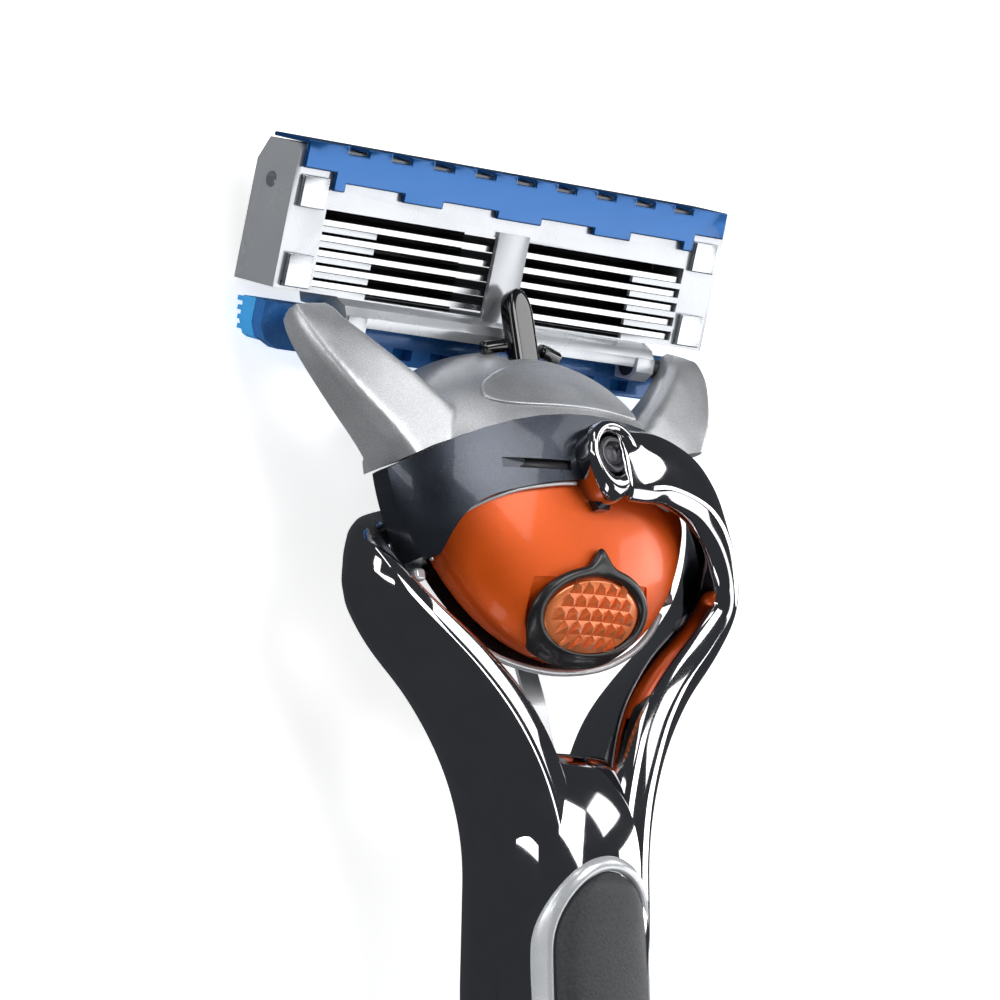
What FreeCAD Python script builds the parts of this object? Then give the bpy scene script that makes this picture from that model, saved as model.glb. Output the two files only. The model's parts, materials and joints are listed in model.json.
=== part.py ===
import FreeCAD, Part
import math
import os

# A five-blade cartridge razor with a swivelling ball head, lying button side up.
# X runs across the blades, Y runs from the handle's end to the head, Z is up.
# Three frames meet at the head: the handle's own (the part's), the ball's, which dips
# below the handle, and the cartridge's, which leans back from the ball.

V = FreeCAD.Vector
OVAL_STEPS = 20
doc = FreeCAD.newDocument("CartridgeRazor")
dims = doc.addObject("Spreadsheet::Sheet", "Dims")

SIZES = [
    ("cartridgeWidth", 42.0, "across the cartridge, end to end"),
    ("housingDepth", 4.1, "cartridge housing, back to skin side"),
    ("housingTop", 4.3, "cap end above the first blade's slot"),
    ("windowHalf", 17.6, "half the length of the blade windows"),
    ("bladePitch", 1.05, "from one blade to the next"),
    ("bladeCount", 5, "cutting blades in the cartridge"),
    ("bladeLength", 34.8, "blade support, end to end"),
    ("ribWidth", 3.0, "bridge between the two window halves"),
    ("clipX", 19.2, "centre of a retaining clip from the middle"),
    ("clipWidth", 2.34, "retaining clip"),
    ("combWidth", 41.2, "blue trimmer comb, end to end"),
    ("combPitch", 4.0, "from one comb notch to the next"),
    ("guardWidth", 41.0, "rubber guard, end to end"),
    ("pivotY", -7.3, "cartridge pivot below the first slot"),
    ("pivotZ", 0.4, "cartridge pivot behind the housing's back"),
    ("pivotPinRadius", 0.7, "cartridge pivot pin"),
    ("headReach", 17.5, "first slot ahead of the swivel axis"),
    ("headLean", 28.0, "cartridge frame against the ball frame, degrees"),
    ("neckDip", 13.5, "ball frame below the handle's axis, degrees"),
    ("collarHalfX", 15.9, "collar, half across"),
    ("collarHalfY", 14.4, "collar, half along"),
    ("collarHalfZ", 6.0, "collar, half thick"),
    ("ballHalfX", 13.1, "orange ball, half across"),
    ("ballHalfY", 14.4, "orange ball, half along"),
    ("ballHalfZ", 4.9, "orange ball, half thick"),
    ("ballShift", 1.3, "orange ball's centre ahead of the swivel axis"),
    ("shellWall", 1.0, "wall of the moulded shells"),
    ("swivelPinRadius", 1.35, "swivel pin"),
    ("swivelPinFace", 7.05, "front face of the swivel pin above the axis"),
    ("plungerHalf", 1.2, "plunger, half across"),
    ("plungerTip", 14.2, "plunger's tip ahead of the swivel axis"),
    ("plungerThick", 1.3, "plunger, front to back"),
    ("padHalfX", 4.55, "button pad, half across"),
    ("padHalfY", 2.35, "button pad, half along"),
    ("buttonStroke", 1.5, "travel of the release button"),
    ("gripStart", 25.8, "front grip's upper end behind the swivel axis"),
    ("gripEnd", 96.0, "front grip's lower end behind the swivel axis"),
    ("gripHalf", 5.6, "front grip with its rim, half across"),
    ("gripCap", 6.6, "length of a grip's rounded end"),
    ("rearGripStart", 34.0, "rear grip's upper end behind the swivel axis"),
    ("rearGripEnd", 104.0, "rear grip's lower end behind the swivel axis"),
    ("rearGripHalf", 5.2, "rear grip, half across"),
    ("handleWall", 1.7, "wall of the hollow handle"),
    ("badgeHalfX", 7.2, "blank badge on the yoke, half across"),
    ("badgeHalfY", 2.0, "blank badge on the yoke, half along"),
    ("badgeY", 6.0, "badge's centre ahead of the swivel axis"),
]
for row, (alias, value, note) in enumerate(SIZES, start=1):
    dims.set(f"A{row}", alias)
    dims.set(f"B{row}", str(value))
    dims.set(f"C{row}", note)
    dims.setAlias(f"B{row}", alias)
doc.recompute()


def size(alias):
    return float(dims.get(alias))


# ---- the three frames -------------------------------------------------------------

PIVOT_Y = size("pivotY")
PIVOT_Z = size("pivotZ")
HANDLE_FRAME = FreeCAD.Placement()
BALL_FRAME = FreeCAD.Placement(V(), FreeCAD.Rotation(V(1, 0, 0), -size("neckDip")))
CARTRIDGE_FRAME = BALL_FRAME * FreeCAD.Placement(
    V(0, size("headReach"), 0), FreeCAD.Rotation(V(1, 0, 0), size("headLean"))
)
CARTRIDGE_IN_BALL = BALL_FRAME.inverse() * CARTRIDGE_FRAME

parts = []


def keep(obj, frame):
    """List a sub-part for export and put it in its own frame."""
    obj.Placement = frame
    parts.append((obj, frame))
    return obj


# ---- shared makers ----------------------------------------------------------------


def new_body(name):
    body = doc.addObject("PartDesign::Body", name)
    body.Label = name
    return body


def origin_plane(body, role):
    return next(item for item in body.Origin.OriginFeatures if item.Role == role)


def add_sketch(body, name, role, edges):
    sketch = body.newObject("Sketcher::SketchObject", name)
    sketch.AttachmentSupport = [(origin_plane(body, role), "")]
    sketch.MapMode = "FlatFace"
    for edge in edges:
        sketch.addGeometry(edge)
    return sketch


def add_pad(body, sketch, length):
    """Pad a sketch evenly to both sides of its plane."""
    pad = body.newObject("PartDesign::Pad", body.Label + "_pad")
    pad.Profile = sketch
    pad.SideType = "Symmetric"
    pad.setExpression("Length", length)
    sketch.Visibility = False
    return pad


def add_pocket(body, sketch, length):
    """Cut a sketch evenly to both sides of its plane."""
    pocket = body.newObject("PartDesign::Pocket", sketch.Name + "_cut")
    pocket.Profile = sketch
    pocket.SideType = "Symmetric"
    pocket.setExpression("Length", length)
    return pocket


def polygon(points):
    """Closed straight-sided outline for a sketch."""
    corners = [V(*point, 0) for point in points]
    return [Part.LineSegment(a, b) for a, b in zip(corners, corners[1:] + corners[:1])]


def rectangle(low, high):
    return polygon([low, (high[0], low[1]), high, (low[0], high[1])])


def feature(name, shape, frame):
    """A sub-part whose form fits no sketch or primitive."""
    obj = doc.addObject("Part::Feature", name)
    obj.Label = name
    obj.Shape = shape
    return keep(obj, frame)


def ellipsoid(centre, halves):
    scale = FreeCAD.Matrix()
    scale.A11, scale.A22, scale.A33 = halves
    shape = Part.makeSphere(1.0).transformGeometry(scale)
    shape.translate(V(*centre))
    return shape


def box(low, high):
    span = V(*high) - V(*low)
    return Part.makeBox(span.x, span.y, span.z, V(*low))


def prism(points, low, high):
    """Solid from an XY outline between two heights."""
    corners = [V(x, y, low) for x, y in points]
    wire = Part.makePolygon(corners + corners[:1])
    return Part.Face(wire).extrude(V(0, 0, high - low))


def side_prism(points, half_width, centre_x=0.0):
    """Solid from a YZ outline, spread evenly across X."""
    corners = [V(centre_x - half_width, y, z) for y, z in points]
    wire = Part.makePolygon(corners + corners[:1])
    return Part.Face(wire).extrude(V(2 * half_width, 0, 0))


def rod(radius, start, end):
    axis = V(*end) - V(*start)
    return Part.makeCylinder(radius, axis.Length, V(*start), axis)


def oval(centre, across, up, half_across, half_up, power):
    """Points of a closed section: an ellipse at power 2, squarer above it."""
    points = []
    for step in range(OVAL_STEPS):
        turn = 2 * math.pi * step / OVAL_STEPS
        c = math.cos(turn)
        s = math.sin(turn)
        u = half_across * math.copysign(abs(c) ** (2 / power), c)
        w = half_up * math.copysign(abs(s) ** (2 / power), s)
        points.append(centre + across * u + up * w)
    return points


def skin(sections):
    """Solid whose side is one smooth surface guided by a row of closed sections."""
    spans = len(sections) - 3
    end_mults = [4] + [1] * (spans - 1) + [4]
    ring_knots = list(range(OVAL_STEPS + 1))
    surface = Part.BSplineSurface()
    surface.buildFromPolesMultsKnots(
        sections, end_mults, [1] * len(ring_knots), list(range(spans + 1)), ring_knots, False, True, 3, 3
    )
    caps = [Part.Face(Part.Wire([surface.uIso(end).toShape()])) for end in (0, spans)]
    shell = Part.makeShell([surface.toShape()] + caps)
    shell.sewShape()
    solid = Part.Solid(shell)
    if solid.Volume < 0:
        solid.reverse()
    return solid


def between(before, start, end, after, share):
    """Catmull-Rom value between two stations."""
    square = share * share
    cube = square * share
    return 0.5 * (
        2 * start + (end - before) * share + (2 * before - 5 * start + 4 * end - after) * square
        + (3 * start - before - 3 * end + after) * cube
    )


def refined(stations, steps):
    """The same run of stations with smooth ones added in between."""
    rows = []
    last = len(stations) - 1
    for index in range(last):
        around = [stations[min(max(index + shift, 0), last)] for shift in (-1, 0, 1, 2)]
        for step in range(steps):
            rows.append([between(*values, step / steps) for values in zip(*around)])
    return rows + [list(stations[-1])]


def limb(stations, power=2.4, grow=0.0):
    """Solid along a path of stations: x, y, z, half across, half thick, thickness direction."""
    flat = [list(station[:5]) + list(station[5]) for station in stations]
    rows = refined(flat, 3)
    centres = [V(*row[:3]) for row in rows]
    sections = []
    for index, (centre, row) in enumerate(zip(centres, rows)):
        before = centres[max(index - 1, 0)]
        after = centres[min(index + 1, len(centres) - 1)]
        along = (after - before).normalize()
        across = along.cross(V(*row[5:])).normalize()
        up = across.cross(along)
        sections.append(oval(centre, across, up, row[3] + grow, row[4] + grow, power))
    return skin(sections)


# ---- cartridge ---------------------------------------------------------------------

PITCH = size("bladePitch")
WINDOW_LOW = -size("bladeCount") * PITCH - 0.25
WINDOW_HIGH = 0.2
TOP = size("housingTop")
DEPTH = size("housingDepth")
HALF = size("cartridgeWidth") / 2
ARM_RELIEF = 15.1
LUG_X = 14.15
LUG_HALF = 0.85


def make_housing():
    body = new_body("cartridge_housing")
    profile = [
        (TOP, -DEPTH + 0.9), (TOP, -0.3), (TOP - 0.3, 0.0), (WINDOW_LOW - 0.1, 0.0),
        (WINDOW_LOW - 0.5, 0.95), (-6.6, 1.35), (-7.3, 1.3), (-7.35, 0.8),
        (-6.6, -0.1), (-6.5, -DEPTH + 0.5), (WINDOW_LOW, -DEPTH), (TOP - 1.6, -DEPTH),
    ]
    side = add_sketch(body, "side_profile", "YZ_Plane", polygon(profile))
    add_pad(body, side, "Dims.cartridgeWidth")
    rib = size("ribWidth") / 2
    reach = size("windowHalf")
    windows = []
    for low, high in ((rib, reach), (-reach, -rib)):
        windows += rectangle((low, WINDOW_LOW), (high, WINDOW_HIGH))
    holes = add_sketch(body, "blade_windows", "XY_Plane", windows)
    add_pocket(body, holes, "4 * Dims.housingDepth")
    cap = rectangle((-reach - 0.4, 1.0), (reach + 0.4, TOP - 0.2))
    seat = add_sketch(body, "strip_seat", "XY_Plane", cap)
    seat.AttachmentOffset = FreeCAD.Placement(V(0, 0, -DEPTH), FreeCAD.Rotation())
    add_pocket(body, seat, "2.2")
    ends = []
    for low, high in ((ARM_RELIEF, HALF + 1), (-HALF - 1, -ARM_RELIEF)):
        ends += rectangle((low, -9.0), (high, WINDOW_LOW - 0.05))
    corners = add_sketch(body, "arm_relief", "XY_Plane", ends)
    add_pocket(body, corners, "4 * Dims.housingDepth")
    doc.recompute()
    shape = body.Shape.copy()
    axis_low = V(-HALF - 1, PIVOT_Y, PIVOT_Z)
    for sign in (-1, 1):
        outline = [(-8.3, -0.5), (-8.3, 1.0), (-7.6, 1.55), (-6.6, 1.5), (-6.4, -0.9)]
        shape = shape.fuse(side_prism(outline, LUG_HALF, sign * LUG_X))
        shape = shape.cut(clip_solid(sign, 0.04))
    shape = shape.cut(Part.makeCylinder(size("pivotPinRadius") + 0.05, 2 * HALF + 2, axis_low, V(1, 0, 0)))
    shape = shape.cut(box((-rib - 0.1, WINDOW_LOW, -9), (rib + 0.1, WINDOW_HIGH, 9)))
    shape = shape.fuse(box((-rib, WINDOW_LOW - 0.6, -0.06), (rib, 0.6, 0.25)))
    for sign in (-1, 1):
        for row in range(int(size("bladeCount"))):
            y = -(row + 1) * PITCH + 0.2
            low, high = sorted((sign * 12.6, sign * (reach + 0.2)))
            shape = shape.fuse(box((low, y - 0.48, -0.28), (high, y - 0.08, 0.0)))
    for sign in (-1, 1):
        shape = shape.cut(rod(0.55, (sign * 22, 1.5, -2.3), (sign * 20.2, 1.5, -2.3)))
    body.Visibility = False
    return feature("housing", shape.removeSplitter(), CARTRIDGE_FRAME)


def clip_solid(sign, grow=0.0):
    """A metal strap over the skin side whose two ends fold over on the back."""
    half = size("clipWidth") / 2 + grow
    thick = 0.3 + grow
    low = -5.35
    high = 2.3
    front = -DEPTH - 0.3
    x = sign * size("clipX")
    strap = box((x - half, low - grow, front), (x + half, high + grow, front + thick))
    for edge, tail in ((high, -2.2), (low, 2.3)):
        inward = math.copysign(thick, tail)
        leg = box((x - half, min(edge, edge + inward), front), (x + half, max(edge, edge + inward), 0.35))
        fold = box((x - half, min(edge, edge + tail), 0.05), (x + half, max(edge, edge + tail), 0.35))
        strap = strap.fuse([leg, fold])
    return strap.removeSplitter()


def make_clips():
    for sign, name in ((-1, "clip_left"), (1, "clip_right")):
        feature(name, clip_solid(sign), CARTRIDGE_FRAME)


def make_comb():
    body = new_body("trimmer_comb")
    profile = [
        (TOP + 0.4, 0.4), (TOP + 0.4, -DEPTH + 0.7), (TOP + 0.1, -DEPTH + 0.7),
        (TOP + 0.1, 0.06), (1.5, 0.06), (1.5, 0.4),
    ]
    side = add_sketch(body, "comb_profile", "YZ_Plane", polygon(profile))
    add_pad(body, side, "Dims.combWidth")
    low_edge = []
    for sign in (-1, 1):
        near, far = sorted((sign * 17.7, sign * 22))
        low_edge += rectangle((near, 0.0), (far, 2.75))
        near, far = sorted((sign * 11.2, sign * 16.6))
        low_edge += rectangle((near, 0.0), (far, 2.1))
        near, far = sorted((sign * 2.2, sign * 7.4))
        low_edge += rectangle((near, 0.0), (far, 2.0))
    wave = add_sketch(body, "lower_edge", "XY_Plane", low_edge)
    add_pocket(body, wave, "2")
    notch = add_sketch(body, "notch", "XY_Plane", rectangle((-16.9, TOP - 0.15), (-15.1, TOP + 1)))
    cut = add_pocket(body, notch, "3.2")
    doc.recompute()
    row = body.newObject("PartDesign::LinearPattern", "notch_row")
    row.Originals = [cut]
    row.Direction = (notch, ["H_Axis"])
    row.Length = 8 * size("combPitch")
    row.Occurrences = 9
    body.Tip = row
    return keep(body, CARTRIDGE_FRAME)


def make_blade(number):
    """A thin cutting blade welded on a bent support."""
    y = -number * PITCH + 0.5 - 0.02
    body = new_body(f"blade_{number}")
    profile = [
        (y - 0.3, -0.3), (y - 0.02, -0.3), (y + 0.02, -2.5), (y + 0.42, -3.9),
        (y + 0.30, -3.98), (y - 0.2, -2.6), (y - 0.3, -2.5),
    ]
    side = add_sketch(body, f"blade_{number}_profile", "YZ_Plane", polygon(profile))
    add_pad(body, side, "Dims.bladeLength")
    return keep(body, CARTRIDGE_FRAME)


def make_strip():
    body = new_body("lubricating_strip")
    profile = [
        (1.15, -DEPTH + 1.05), (1.15, -DEPTH - 0.1), (1.7, -DEPTH - 0.45),
        (3.0, -DEPTH - 0.4), (TOP - 0.35, -DEPTH + 0.25), (TOP - 0.35, -DEPTH + 1.05),
    ]
    side = add_sketch(body, "strip_profile", "YZ_Plane", polygon(profile))
    add_pad(body, side, "2 * Dims.windowHalf + 0.6")
    return keep(body, CARTRIDGE_FRAME)


def make_trimmer():
    body = new_body("trimmer_blade")
    profile = [
        (TOP + 0.03, -0.9), (TOP + 0.09, -0.9), (TOP + 0.09, -DEPTH + 0.45), (TOP + 0.03, -DEPTH + 0.6),
    ]
    side = add_sketch(body, "trimmer_profile", "YZ_Plane", polygon(profile))
    add_pad(body, side, "2 * Dims.windowHalf")
    return keep(body, CARTRIDGE_FRAME)


def make_guard():
    """The soft guard: a slotted carrier bar and the ribbed rubber on its skin side."""
    half = size("guardWidth") / 2
    back = -0.95
    outline = [
        (-half, -6.6), (-half, -8.3), (-half + 0.5, -9.2), (-half + 1.8, -9.75), (half - 1.8, -9.75),
        (half - 0.5, -9.2), (half, -8.3), (half, -6.6),
    ]
    carrier = prism(outline, -2.0, back)
    slots = 9
    for step in range(slots):
        x = (step - (slots - 1) / 2) * 3.6
        slot = box((x - 0.9, -9.35, -3.0), (x + 0.9, -8.6, 0.0))
        carrier = carrier.cut(slot)
    feature("guard_carrier", carrier, CARTRIDGE_FRAME)
    rubber = prism(outline, -3.3, -2.0)
    rubber = rubber.cut(box((-30, -20, -6), (30, -9.4, -1)))
    fins = []
    for step in range(4):
        y = -6.85 - 0.62 * step
        fins.append(box((-half + 0.4, y - 0.22, -4.35 + 0.16 * step), (half - 0.4, y + 0.1, -3.2)))
    rubber = rubber.fuse(fins).removeSplitter()
    feature("guard_rubber", rubber, CARTRIDGE_FRAME)


# ---- ball, collar and cup ------------------------------------------------------------

COLLAR = [size("collarHalfX"), size("collarHalfY"), size("collarHalfZ")]
COLLAR_CENTRE = (0, 0.5, -0.7)
BALL = [size("ballHalfX"), size("ballHalfY"), size("ballHalfZ")]
BALL_CENTRE = (0, size("ballShift"), -0.35)
WALL = size("shellWall")
BUTTON_Y = -10.4
BUTTON_TIP = -5.8
BUTTON_WAY = V(0, 0.9232, 0.3843)
BALL_GAP = 0.12
SPLIT = -2.6
COLLAR_SPLIT = -0.7
SEAM_TOP = 3.2
SEAM_BEND = 0.0155
LIP = [(-12.9, -8.0), (-12.5, -6.0), (-11.1, -3.8), (-7.8, -2.45), (-3.0, -1.65), (0, -1.5)]
LIP = LIP + [(-x, y) for x, y in reversed(LIP[:-1])]


def resized(halves, change):
    return [half + change for half in halves]


def below_lip(rise):
    """Everything behind the collar's arched front edge, raised towards the head by rise."""
    curve = Part.BSplineCurve()
    curve.interpolate([V(x, y + rise, -20) for x, y in LIP])
    ends = [V(curve.EndPoint), V(14, -18, -20), V(-14, -18, -20), V(curve.StartPoint)]
    rest = [Part.LineSegment(a, b).toShape() for a, b in zip(ends, ends[1:])]
    return Part.Face(Part.Wire([curve.toShape()] + rest)).extrude(V(0, 0, 40))


def above_seam(gap):
    """Everything ahead of the seam between the collar and the yoke."""
    points = []
    for step in range(-10, 11):
        x = 2.4 * step
        points.append((x, SEAM_TOP - SEAM_BEND * x * x + gap))
    return prism(points + [(24, 30), (-24, 30)], -20, 20)


def swept_sector(profile, start, sweep):
    """A ring sector about the swivel axis, from a radius-height outline."""
    corners = [V(r, 0, z) for r, z in profile]
    face = Part.Face(Part.makePolygon(corners + corners[:1]))
    face.rotate(V(), V(0, 0, 1), start)
    return face.revolve(V(), V(0, 0, 1), sweep)


def front_arm_room():
    """Space that the front arm sweeps as the head swivels, wider close to the pin."""
    near = [(0, 5.55), (3.5, 4.9), (8.5, 2.9), (10.5, 1.9), (10.5, 9), (0, 9)]
    far = [(0, 5.55), (3.5, 4.9), (8.5, 2.9), (12.0, 0.9), (14.0, -1.2), (15.2, -2.6), (15.4, -5.0),
           (22, -5.0), (22, 9), (0, 9)]
    return swept_sector(near, -62, 88).fuse(swept_sector(far, -62, 74))


def rear_arm_room():
    profile = [(0, -6.75), (5.0, -6.0), (10.0, -4.45), (12.4, -2.7), (14.9, -1.8), (15.0, 0.4), (22, 0.4),
               (22, -12), (0, -12)]
    return swept_sector(profile, 166, 80)


def make_collar():
    """The black collar in two moulded halves, notched where the frame's arms pass."""
    outer = ellipsoid(COLLAR_CENTRE, COLLAR)
    hollow = ellipsoid(COLLAR_CENTRE, resized(COLLAR, -1.5))
    shape = outer.cut(hollow)
    shape = shape.cut(box((-20, -20, -20), (20, -6.6, 20)))
    shape = shape.cut(above_seam(0.0))
    shape = shape.cut(rod(size("swivelPinRadius") + 0.05, (0, 0, -12), (0, 0, 12)))
    front = shape.common(box((-20, -20, COLLAR_SPLIT), (20, 20, 20)))
    front = front.cut(ellipsoid(BALL_CENTRE, resized(BALL, BALL_GAP)))
    front = front.cut(below_lip(0.0))
    beak = prism([(-1.5, -1.4), (1.5, -1.4), (0.5, -3.5), (-0.5, -3.5)], 4.4, 5.0)
    front = front.fuse(beak.cut(ellipsoid(BALL_CENTRE, resized(BALL, BALL_GAP))))
    front = front.cut(front_arm_room())
    front = front.cut(rear_arm_room())
    front = front.cut(box((-8.6, -1.0, 4.3), (-2.8, -0.3, 8)))
    rear = shape.common(box((-20, -20, -20), (20, 20, COLLAR_SPLIT)))
    ball_room = ellipsoid(BALL_CENTRE, resized(BALL, BALL_GAP))
    rear = rear.cut(ball_room.common(box((-20, -20, SPLIT - 0.1), (20, 20, 9))))
    rear = rear.cut(rear_arm_room())
    rear = rear.cut(front_arm_room())
    feature("collar_front", largest(front), BALL_FRAME)
    feature("collar_rear", largest(rear), BALL_FRAME)


def largest(shape):
    """The biggest solid of a cut, without stray slivers."""
    return max(shape.Solids, key=lambda solid: solid.Volume)


def make_ball():
    outer = ellipsoid(BALL_CENTRE, BALL)
    shape = outer.cut(ellipsoid(BALL_CENTRE, resized(BALL, -WALL)))
    shape = shape.cut(box((-20, -20, -20), (20, 20, SPLIT + 0.05)))
    shape = shape.common(below_lip(1.0))
    shape = shape.cut(rod(2.4, (0, 0, -20), (0, 0, 20)))
    travelling = ball_skin(-0.12, 0.7).common(button_plan()).common(box((-20, -20, -20), (20, -9.4, 20)))
    for step in range(1, 7):
        moved = travelling.copy()
        moved.translate(BUTTON_WAY * (size("buttonStroke") * step / 6))
        shape = shape.cut(moved)
    return feature("ball_shell", largest(shape), BALL_FRAME)


def make_cup():
    outer = ellipsoid(COLLAR_CENTRE, COLLAR)
    shape = outer.cut(ellipsoid(COLLAR_CENTRE, resized(COLLAR, -1.2)))
    rim = outer.common(box((-20, -20, SPLIT - 0.9), (20, -6.7, SPLIT)))
    rim = rim.cut(ellipsoid(BALL_CENTRE, resized(BALL, 0.15)))
    shape = shape.fuse(rim)
    shape = shape.common(box((-20, -20, -20), (20, -6.7, SPLIT)))
    shape = shape.cut(rear_arm_room())
    return feature("ball_cup", largest(shape), BALL_FRAME)


def make_nubs():
    """Small catches where the collar's lower ends meet the cup's rim."""
    for sign, name in ((-1, "collar_catch_left"), (1, "collar_catch_right")):
        x = sign * 12.1
        shape = box((x - 0.5, -7.6, SPLIT), (x + 0.5, -6.75, -1.3))
        shape = shape.makeFillet(0.25, shape.Edges)
        feature(name, shape, BALL_FRAME)


def make_dock():
    """The spine inside the head: guides the plunger and takes the yoke."""
    shape = box((-5.0, 3.4, -3.4), (5.0, 5.7, 0.7))
    shape = shape.fuse(box((-4.0, -2.6, -3.4), (4.0, 3.6, 0.7)))
    shape = shape.cut(box((-1.35, -10, -1.15), (1.35, 20, 0.25)))
    shape = shape.cut(rod(size("swivelPinRadius") + 0.06, (0, 0, -12), (0, 0, 12)))
    return feature("dock", shape.removeSplitter(), BALL_FRAME)


# ---- plunger and release button ----------------------------------------------------------


def make_plunger():
    half = size("plungerHalf")
    tip = size("plungerTip")
    thick = size("plungerThick")
    top = 0.2
    outline = [(-half, 2.2), (half, 2.2), (half, tip - 1.2), (half * 0.62, tip - 0.25), (0, tip),
               (-half * 0.62, tip - 0.25), (-half, tip - 1.2)]
    shape = prism(outline, top - thick, top)
    return feature("plunger", shape, BALL_FRAME)


def ring_points(half_x, half_y, centre_y, steps=24):
    turns = [2 * math.pi * step / steps for step in range(steps)]
    return [(half_x * math.sin(turn), centre_y + half_y * math.cos(turn)) for turn in turns]


def ball_skin(low, high):
    """A layer over the ball between two heights above its surface."""
    return ellipsoid(BALL_CENTRE, resized(BALL, high)).cut(ellipsoid(BALL_CENTRE, resized(BALL, low)))


def button_plan():
    """The button's whole outline: an oval with a pointer towards the head."""
    half_y = size("padHalfY")
    surround = prism(ring_points(size("padHalfX") + 1.15, half_y + 0.8, BUTTON_Y + 0.1), -1, 9)
    neck = half_y + BUTTON_Y
    pointer = [(-2.6, neck), (-1.1, neck + 0.95), (-0.7, neck + 1.9), (0, BUTTON_TIP),
               (0.7, neck + 1.9), (1.1, neck + 0.95), (2.6, neck)]
    return surround.fuse(prism(pointer, -1, 9))


def make_button():
    """The textured pad and its dark surround, which ends in a pointer."""
    half_x = size("padHalfX")
    half_y = size("padHalfY")
    ring = ball_skin(0.15, 0.5).common(button_plan())
    ring = ring.cut(prism(ring_points(half_x, half_y, BUTTON_Y), -1, 9))
    feature("button_surround", largest(ring), BALL_FRAME)
    core = prism(ring_points(half_x - 0.04, half_y - 0.04, BUTTON_Y), -1, 9)
    feature("button_pad", largest(ball_skin(0.15, 0.62).common(core)), BALL_FRAME)


# ---- yoke ---------------------------------------------------------------------------------


def yoke_arm(sign):
    path = [
        (9.8, -1.4, -0.7, 3.4, 3.0), (11.1, 1.3, -0.8, 3.4, 2.9), (13.2, 4.0, -1.1, 3.1, 2.4),
        (15.8, 6.7, -1.6, 2.6, 1.9), (17.5, 9.1, -2.1, 2.15, 1.6), (18.1, 11.0, -2.55, 1.85, 1.35),
    ]
    arm = limb([(sign * s[0],) + s[1:] + (V(0, 0, 1),) for s in path], power=3.0)
    tip = Part.makeCylinder(1.25, 3.7, V(sign * 18.1 - 1.85, 10.87, -3.0), V(1, 0, 0))
    return arm.fuse(tip)


def make_yoke():
    halves = (13.2, 10.3, 9.8)
    centre = (0, 0, -4.5)
    dome = ellipsoid(centre, halves)
    shape = dome.fuse([yoke_arm(-1), yoke_arm(1)])
    shape = shape.common(box((-30, -10, -4.6), (30, 30, 20)))
    shape = shape.common(above_seam(0.12))
    shape = shape.cut(front_arm_room())
    shape = shape.cut(ellipsoid(centre, resized(halves, -1.2)).common(box((-30, -10, -3.9), (30, 30, 20))))
    shape = shape.cut(box((-2.9, 5, -3.3), (2.9, 20, 1.0)))
    pivot = CARTRIDGE_IN_BALL.multVec(V(0, PIVOT_Y, PIVOT_Z))
    start = V(-30, pivot.y, pivot.z)
    shape = shape.cut(Part.makeCylinder(size("pivotPinRadius"), 60, start, V(1, 0, 0)))
    badge = badge_plan(0.0)
    skin = ellipsoid(centre, resized(halves, 0.5)).cut(ellipsoid(centre, resized(halves, -0.35)))
    shape = shape.cut(skin.common(badge))
    feature("yoke", largest(shape), BALL_FRAME)
    plate = ellipsoid(centre, resized(halves, -0.08)).cut(ellipsoid(centre, resized(halves, -0.33)))
    plate = plate.common(badge_plan(-0.06))
    feature("yoke_badge", largest(plate), BALL_FRAME)
    for sign, name in ((-1, "pivot_pin_left"), (1, "pivot_pin_right")):
        ends = sorted((sign * 13.3, sign * 19.0))
        pin = rod(size("pivotPinRadius"), (ends[0], pivot.y, pivot.z), (ends[1], pivot.y, pivot.z))
        feature(name, pin, BALL_FRAME)


BADGE_BEND = 0.02


def badge_plan(grow):
    """Blank oval on the front of the yoke."""
    points = []
    for step in range(24):
        turn = 2 * math.pi * step / 24
        x = (size("badgeHalfX") + grow) * math.sin(turn)
        y = (size("badgeHalfY") + grow) * math.cos(turn)
        points.append((x, size("badgeY") + y - BADGE_BEND * x * x))
    return prism(points, 0.5, 12)


# ---- frame and handle -------------------------------------------------------------------

FRONT_ARM = [
    (-1.8, -0.6, 6.35, 2.5, 0.6, V(0, 0, 1)), (1.5, -0.5, 6.4, 2.7, 0.75, V(0, 0, 1)),
    (5.2, -0.4, 5.9, 2.6, 1.0, V(0.15, 0, 1)),
    (9.4, -1.3, 4.85, 2.5, 1.3, V(0.5, 0, 1)), (12.9, -3.0, 2.85, 2.6, 1.45, V(0.9, 0.1, 0.6)),
    (14.9, -5.2, 0.5, 2.8, 1.6, V(1, 0.1, 0.3)), (15.2, -7.3, -1.0, 3.0, 1.7, V(1, 0, 0)),
    (13.4, -10.2, -1.8, 3.2, 2.0, V(1, -0.3, 0)), (10.2, -13.3, -2.4, 3.4, 2.3, V(1, -0.6, 0)),
    (7.1, -16.6, -3.0, 3.7, 2.7, V(1, -0.7, 0)), (4.6, -20.4, -3.5, 3.9, 2.8, V(1, -0.6, 0)),
    (3.1, -24.5, -4.0, 3.9, 2.8, V(1, -0.3, 0)),
]
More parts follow.
